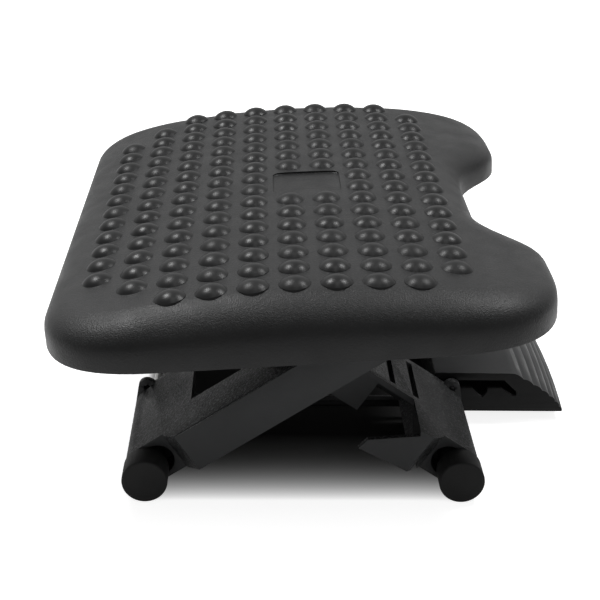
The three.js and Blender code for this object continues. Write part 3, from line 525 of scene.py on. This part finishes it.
def deck_domes():
    """Round caps on the plate, with roots that reach into it."""
    radius, height, root, root_spread, sides, steps = 10.0, 4.4, 2.4, 0.48, 32, 7
    ball = (radius * radius + height * height) / (2 * height)
    widest = math.asin(radius / ball)
    profile = [(radius + root_spread, -root)]
    for i in range(steps):
        angle = widest * (1 - i / steps)
        profile.append((ball * math.sin(angle), ball * math.cos(angle) - (ball - height)))
    bm = bmesh.new()
    for along, across in dome_places():
        matrix = Matrix.Translation((along, 0, 0)) @ on_crown(across)
        rings = [[matrix @ Vector((a, b, h)) for a, b in circle(r, sides)] for r, h in profile]
        rows = ring_surface(bm, rings)
        cap(bm, rows[-1], matrix @ Vector((0, 0, height)))
    soften(put("deck_domes", to_mesh(bm, "deck_domes"), DECK_SHELL, "deck", "deck_plastic", skin=DOME_SKIN))


RAIL_OUTER_FACE, RAIL_WIDTH, WASHER_WIDTH, LUG_BASE_LENGTH, LUG_WIDTH = 75.0, 5.0, 2.0, 30.0, 6.0
LUG_OUTER_FACE = RAIL_OUTER_FACE - RAIL_WIDTH - 2 * SIDE_GAP - WASHER_WIDTH
BOSS_HEIGHT, SCREW_INSET, SCREW_ACROSS, SCREW_HEAD_RADIUS = 6.0, 6.2, 16.8, 3.3
BOSS_FACE = CROWN_HEIGHT - WALL - BOSS_HEIGHT


def screw_places(side):
    for x in (LUG_OUTER_FACE - LUG_BASE_LENGTH + SCREW_INSET,
              LUG_OUTER_FACE - LUG_WIDTH - SCREW_INSET + SCREW_HEAD_RADIUS / 2):
        for y in (SCREW_ACROSS, -SCREW_ACROSS):
            yield side * x, y


def deck_underside():
    """Ribs and screw bosses on the ceiling of the deck."""
    bm = bmesh.new()
    reach, thickness, depth, steps, place_shares = 80.0, 2.4, 9.0, 8, (0.27, 0.75)
    rib_end = LUG_OUTER_FACE - LUG_BASE_LENGTH
    for x in (side * share * rib_end for side in (-1, 1) for share in place_shares):
        across = [reach * (2 * i / steps - 1) for i in range(steps + 1)]
        outline = [(y, crown(y) - WALL - depth) for y in across]
        outline += [(y, crown(y) - WALL / 2) for y in reversed(across)]
        mesh = extruded_x(outline, (x - thickness / 2, x + thickness / 2))
        bm.from_mesh(mesh)
        bpy.data.meshes.remove(mesh)
    radius, bore, round_, sides = 4.5, 1.9, 0.4, 20
    for side in (-1, 1):
        for x, y in screw_places(side):
            profile = ((bore, BOSS_FACE), (radius - round_, BOSS_FACE), (radius, BOSS_FACE + round_),
                       (radius, BOSS_FACE + BOSS_HEIGHT + WALL / 2))
            middle = y - DECK_SHIFT
            ring_surface(bm, [[(x + a, middle + b, z) for a, b in circle(r, sides)] for r, z in profile])
    soften(put("deck_underside", to_mesh(bm, "deck_underside"), DECK_SHELL, "deck", "deck_plastic"))


# Feet
def quarter_turn():
    """Angles of a rounded corner, in even steps."""
    steps = 4
    return [math.pi / 2 * i / steps for i in range(steps + 1)]


def rounded(radius, x, round_):
    """(radius, x) pairs of a rounded outer corner that ends at x, met from the inner side."""
    return [(radius - round_ + round_ * math.cos(a), x - round_ + round_ * math.sin(a))
            for a in quarter_turn()]


def foot_tubes():
    """Rubber feet: a neck inside the leg and a wider tread outside it, round a blind bore."""
    face_setback, end_proud, end_cover, bore, neck_radius = 15.0, 4.6, 10.0, 4.35, 10.8
    round_, round_cut, sides = 1.3, 0.39, 72
    outer = LEG_OUTER_FACE + end_proud
    inner = LEG_INNER_FACE + BLOCK_SKIN + SIDE_GAP
    tread = LEG_OUTER_FACE - face_setback + SIDE_GAP
    profile = [(0, outer - end_cover), (bore, outer - end_cover), (bore, inner), (neck_radius, inner),
               (neck_radius, tread), (FOOT_RADIUS - round_, tread),
               (FOOT_RADIUS - round_cut, tread + round_cut), (FOOT_RADIUS, tread + round_),
               *rounded(FOOT_RADIUS, outer, round_), (0, outer)]
    for side, way in (("toe", 1), ("user", -1)):
        for end, flip in (("left", -1), ("right", 1)):
            bm = bmesh.new()
            turned_x(bm, [(r, flip * x) for r, x in profile], way * FOOT_HALF_SPAN, FOOT_RADIUS, sides)
            node = f"{side}_foot_tube_{end}"
            mesh = to_mesh(bm, "foot")
            soften(put(f"{side}_foot_grip_{end}", mesh, ROW, NODE_BODIES[node], "rubber", [node]))


# Turned steel and plastic
def node_axis(node):
    """A turned node's lowest and highest x, its radius and its axis place in y and z, in millimetres."""
    low, high = (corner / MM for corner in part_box(node))
    return low.x, high.x, (high.z - low.z) / 2, (low.y + high.y) / 2, (low.z + high.z) / 2


def put_for(node, mesh):
    """Puts a turned mesh in place of the CAD node of that name."""
    obj = put(f"{node}_turned", mesh, Matrix.Scale(MM, 4), NODE_BODIES[node], NODE_SLOTS[node],
              [node], node_skin(node))
    soften(obj)


def put_turned(node, profile, y, z):
    bm = bmesh.new()
    turned_x(bm, profile, y, z)
    put_for(node, to_mesh(bm, node))


def rod(node):
    """A drawn rod with rounded ends."""
    x0, x1, radius, y, z = node_axis(node)
    end = radius / 4
    left = [(r, x0 + x1 - x) for r, x in rounded(radius, x1, end)]
    put_turned(node, [(0, x0), *reversed(left), *rounded(radius, x1, end), (0, x1)], y, z)


def ring(node, bore):
    """A washer or sleeve with broken edges, made as a closed loop of rings round its bore."""
    x0, x1, radius, y, z = node_axis(node)
    sides, largest_edge, edge_share, weld_distance = 48, 0.35, 0.2, 0.0001
    edge = min(largest_edge, (x1 - x0) * edge_share)
    loop = [(bore, x0 + edge), (bore + edge, x0), (radius - edge, x0), (radius, x0 + edge),
            (radius, x1 - edge), (radius - edge, x1), (bore + edge, x1), (bore, x1 - edge), (bore, x0 + edge)]
    bm = bmesh.new()
    ring_surface(bm, [[(x, y + a, z + b) for a, b in circle(r, sides)] for r, x in loop])
    bmesh.ops.remove_doubles(bm, verts=bm.verts, dist=weld_distance)
    put_for(node, to_mesh(bm, node))


def headed(node, shank, head_height, ends):
    """A pin with a domed head at the ends asked for: -1 is the low end of X and 1 the high end."""
    x0, x1, radius, y, z = node_axis(node)
    shank_edge, crown_share, dome_share = 0.3, 0.55, 0.6
    profile = [(0, x0)]
    for end, face in ((-1, x0), (1, x1)):
        inward = -end * head_height
        if end not in ends:
            row = [(shank - shank_edge, face), (shank, face - end * shank_edge)]
        else:
            row = [(radius * (crown_share + (1 - crown_share) * math.sin(a)),
                    face + dome_share * inward * (1 - math.cos(a))) for a in quarter_turn()]
            row += [(radius, face + inward), (shank, face + inward)]
        profile += row if end < 0 else reversed(row)
    put_turned(node, [*profile, (0, x1)], y, z)


def turned_pieces():
    """Rods, washers, sleeves, bolts and rivets, each in place of its CAD node."""
    rods = ["toe_foot_rod", "cross_pin_left", "cross_pin_right", "upper_rod_toe_frame",
            "upper_rod_user_frame", "latch_rod", "tilt_rod", "user_foot_pin_left", "user_foot_pin_right"]
    rod_bore, bolt_bore, bolt_shank, bolt_head, rivet_shank, rivet_head = 4.35, 3.4, 3.0, 1.5, 2.0, 1.2
    for node in rods:
        rod(node)
    for name in ("toe", "user"):
        ring(f"carrier_tube_{name}", bolt_bore)
        headed(f"carrier_bolt_{name}", bolt_shank, bolt_head, (-1, 1))
    for name, side in (("left", -1), ("right", 1)):
        for node in (f"toe_rod_clip_{name}", f"toe_rod_spacer_{name}", f"tilt_friction_washer_{name}"):
            ring(node, rod_bore)
        for number in (1, 2):
            headed(f"pedal_rivet_{name}_{number}", rivet_shank, rivet_head, (-side,))


# Pedal
def pedal():
    """The toe pedal: a hollow box with a bowed, ribbed nose, latch slots and doors for its links."""
    half, back, top_end, nose = 77.0, 96.5, 151.6, 190.4
    pull, pull_height, bulge, top, bottom, wall = 184.5, 21.0, 3.0, 37.6, 7.0, 2.6
    overrun, link_thickness, door_top, corner = 2.0, 2.6, 16.95, 0.35
    ribs, per_rib, rib_height, rib_fullness = 7, 8, 1.1, 0.7
    across_steps, hollow_steps, look_ahead = 24, 8, 0.01

    def nose_point(t, shrink=0.0):
        s = 1 - t
        controls = ((-top_end, top - shrink), (shrink - pull, pull_height - shrink),
                    (shrink - nose, bottom - (overrun if shrink else 0)))
        weights = (s * s, 2 * s * t, t * t)
        return Vector(tuple(sum(w * p[k] for w, p in zip(weights, controls)) for k in (0, 1)))

    def bend(point):
        x, y, z = point
        share = max(0, (-y - top_end) / (nose - top_end))
        return x, y - bulge * share * (1 - (x / half) ** 2), z

    across = [2 * i / across_steps - 1 for i in range(across_steps + 1)]
    outline = [(-back, top)]
    for i in range(ribs * per_rib + 1):
        t = i / (ribs * per_rib)
        here = nose_point(t)
        ahead = (nose_point(min(1, t + look_ahead)) - nose_point(max(0, t - look_ahead))).normalized()
        wave = rib_height / 2 * (abs(math.sin(math.pi * t * ribs)) ** rib_fullness * 2 - 1)
        outline.append((here.x + ahead.y * wave, here.y - ahead.x * wave))
    outline.append((-back, bottom))
    shell = extruded_x(outline, [half * share for share in across], bend)
    thin = half - wall
    hollow_nose = (tuple(nose_point(i / hollow_steps, wall)) for i in range(hollow_steps + 1))
    hollow_outline = [(-wall - back, top - wall), *hollow_nose, (-wall - back, bottom - overrun)]
    hollow = extruded_x(hollow_outline, [thin * share for share in across], bend)
    slot = extruded_x(latch_outline(), (-half - overrun, half + overrun))
    link_room = 3 * SIDE_GAP + link_thickness
    corners = [(-back - 2 * wall, bottom - overrun), (-back + overrun, bottom - overrun),
               (-back + overrun, door_top), (-back - 2 * wall, door_top)]
    doors = [extruded_x(corners, ends) for ends in ((thin - link_room, thin), (-thin, link_room - thin))]
    mesh = carve(shell, [hollow, slot, *doors])
    soften(put("pedal_cover", mesh, ROW, "pedal", "pedal_plastic", ["pedal_shell"]), corner)


def latch_outline():
    """The stepped slot in each side of the pedal: a level run, two pockets and a last one at the nose."""
    reach, pitch, floor, channel, ceiling = 108.2, 23.6, 18.1, 25.3, 31.6
    knee, wall_play, knee_play, ramp_run = 19.4, 2.9, 2.4, 8.4
    last_ramp_start, last_ramp_end, last_wall, last_shoulder = 144.5, 153.1, 156.0, 146.5

    def pocket(at):
        return [(-at + ramp_run, channel), (-at + knee_play, knee), (-at, floor),
                (-at - wall_play, knee + wall_play), (-at - wall_play, channel)]

    return [(ramp_run - reach, ceiling), *pocket(reach), *pocket(reach + pitch),
            (-last_ramp_start, channel), (-last_ramp_end, knee), (-last_wall, knee),
            (-last_wall, knee + wall_play), (-last_shoulder, ceiling)]


# Pieces carried over from the frame
def carried():
    """The CAD nodes that still show get their finish and rounded corners."""
    leg_corner, small_corner = 0.8, 0.3
    for name, obj in frame["nodes"].items():
        if obj.hide_render:
            continue
        obj.data.materials.clear()
        obj.data.materials.append(node_skin(name))
        soften(obj, leg_corner if name.startswith("leg_frame") else small_corner)


# Studio
def painted_shadow_edge(tree, place, center_y, half, fade):
    """0 inside a soft rectangle on the floor, rising to 1 where its fade ends: the edge of a painted shadow.
    """
    reach = []
    for k, axis in enumerate("XY"):
        center = center_y if axis == "Y" else 0.0
        along = calculate(tree, "ABSOLUTE", calculate(tree, "SUBTRACT", place.outputs[axis], center))
        past = calculate(tree, "MAXIMUM", calculate(tree, "SUBTRACT", along, half[k]), 0.0)
        reach.append(calculate(tree, "POWER", calculate(tree, "DIVIDE", past, fade[k]), 2.0))
    return calculate(tree, "MINIMUM", calculate(tree, "SQRT", calculate(tree, "ADD", *reach)), 1.0)


def add_floor():
    """White paper that glows white round the object and carries a painted shadow: its colour and glow turn
    dark between the legs and under the pedal.
    """
    # shade is the grey of the painted shadow in the paper's colour; steepness shapes that painted shadow's
    # edge in the glow.
    size, shade, paper, glow_level, mirrored, steepness = 12.0, 0.03, 0.8, 0.85, 0.5, 5.5
    rough, specular = 0.9, 0.1
    corners = [(-size, -size, 0), (size, -size, 0), (size, size, 0), (-size, size, 0)]
    mesh = bpy.data.meshes.new("floor")
    mesh.from_pydata(corners, [], [(0, 1, 2, 3)])
    floor = bpy.data.objects.new("floor", mesh)
    bpy.context.scene.collection.objects.link(floor)
    material, tree, shader = node_material("floor_paper")
    link = tree.links.new
    shader.inputs["Roughness"].default_value = rough
    shader.inputs["Specular IOR Level"].default_value = specular
    place = tree.nodes.new("ShaderNodeSeparateXYZ")
    link(tree.nodes.new("ShaderNodeTexCoord").outputs["Object"], place.inputs[0])
    # Painted shadow: the paper's colour and its glow turn dark inside soft patches between the legs and under
    # the pedal.
    painted_shadow_legs = painted_shadow_edge(tree, place, center_y=0.013, half=(0.1, 0.096), fade=(0.088, 0.018))
    painted_shadow_pedal = painted_shadow_edge(tree, place, center_y=-0.085, half=(0.04, 0.07), fade=(0.02, 0.02))
    past_painted_shadow = calculate(tree, "MULTIPLY", painted_shadow_legs, painted_shadow_pedal)
    painted_tone = ramp(tree, past_painted_shadow, grey(shade, 1.0), grey(paper, 1.0), start=0, end=1)
    link(painted_tone, shader.inputs["Base Color"])
    path = tree.nodes.new("ShaderNodeLightPath").outputs
    seen = calculate(tree, "MULTIPLY_ADD", path["Is Glossy Ray"], mirrored, path["Is Camera Ray"])
    glow_level = calculate(tree, "MULTIPLY", calculate(tree, "POWER", past_painted_shadow, steepness), glow_level)
    strength = calculate(tree, "MULTIPLY", glow_level, seen)
    glow = add_node(tree, "ShaderNodeEmission", in_Color=(1, 1, 1, 1))
    link(strength, glow.inputs["Strength"])
    both = tree.nodes.new("ShaderNodeAddShader")
    link(shader.outputs[0], both.inputs[0])
    link(glow.outputs[0], both.inputs[1])
    link(both.outputs[0], tree.nodes["Material Output"].inputs["Surface"])
    mesh.materials.append(material)


def add_world():
    """A white backdrop; glossy pieces see it white beyond the object and dim on the camera's side."""
    lighting, bright, dim, beyond_start, beyond_full = 0.22, 0.67, 0.33, -0.1, 0.6
    world = bpy.data.worlds.new("studio")
    bpy.context.scene.world = world
    world.use_nodes = True
    tree = world.node_tree
    back = tree.nodes["Background"]
    back.inputs["Color"].default_value = (1, 1, 1, 1)
    split = tree.nodes.new("ShaderNodeSeparateXYZ")
    tree.links.new(tree.nodes.new("ShaderNodeTexCoord").outputs["Generated"], split.inputs[0])
    path = tree.nodes.new("ShaderNodeLightPath")
    beyond = smooth_step(tree, split.outputs["X"], beyond_start, beyond_full)
    reflected = calculate(tree, "MULTIPLY_ADD", beyond, bright - dim, dim - lighting)
    level = calculate(tree, "MULTIPLY_ADD", reflected, path.outputs["Is Glossy Ray"], lighting)
    level = calculate(tree, "MULTIPLY_ADD", path.outputs["Is Camera Ray"], 1.0 - lighting, level)
    tree.links.new(level, back.inputs["Strength"])


def add_lamp(name, direction, size, power):
    """A round or oval lamp that faces the deck from that direction."""
    target, distance = Vector((0, 0, 0.1)), 1.6
    data = bpy.data.lights.new(name, "AREA")
    data.shape = "ELLIPSE"
    data.size, data.size_y = size
    data.energy = power
    lamp = bpy.data.objects.new(name, data)
    lamp.location = target + Vector(direction).normalized() * distance
    lamp.rotation_mode = "QUATERNION"
    lamp.rotation_quaternion = (target - lamp.location).to_track_quat("-Z", "Y")
    bpy.context.scene.collection.objects.link(lamp)


def studio():
    add_floor()
    add_world()
    add_lamp("key_toe_side", (0.3, 0.429, 0.852), size=(0.42, 0.42), power=16.0)
    add_lamp("key_user_side", (0.19, -0.452, 0.872), size=(0.42, 0.42), power=12.0)
    add_lamp("overhead", (-0.19, 0.0, 0.982), size=(0.5, 0.9), power=3.0)


add_camera()
deck_cover()
deck_domes()
deck_underside()
foot_tubes()
turned_pieces()
pedal()
carried()
studio()
bpy.context.scene.view_settings.view_transform = "Standard"
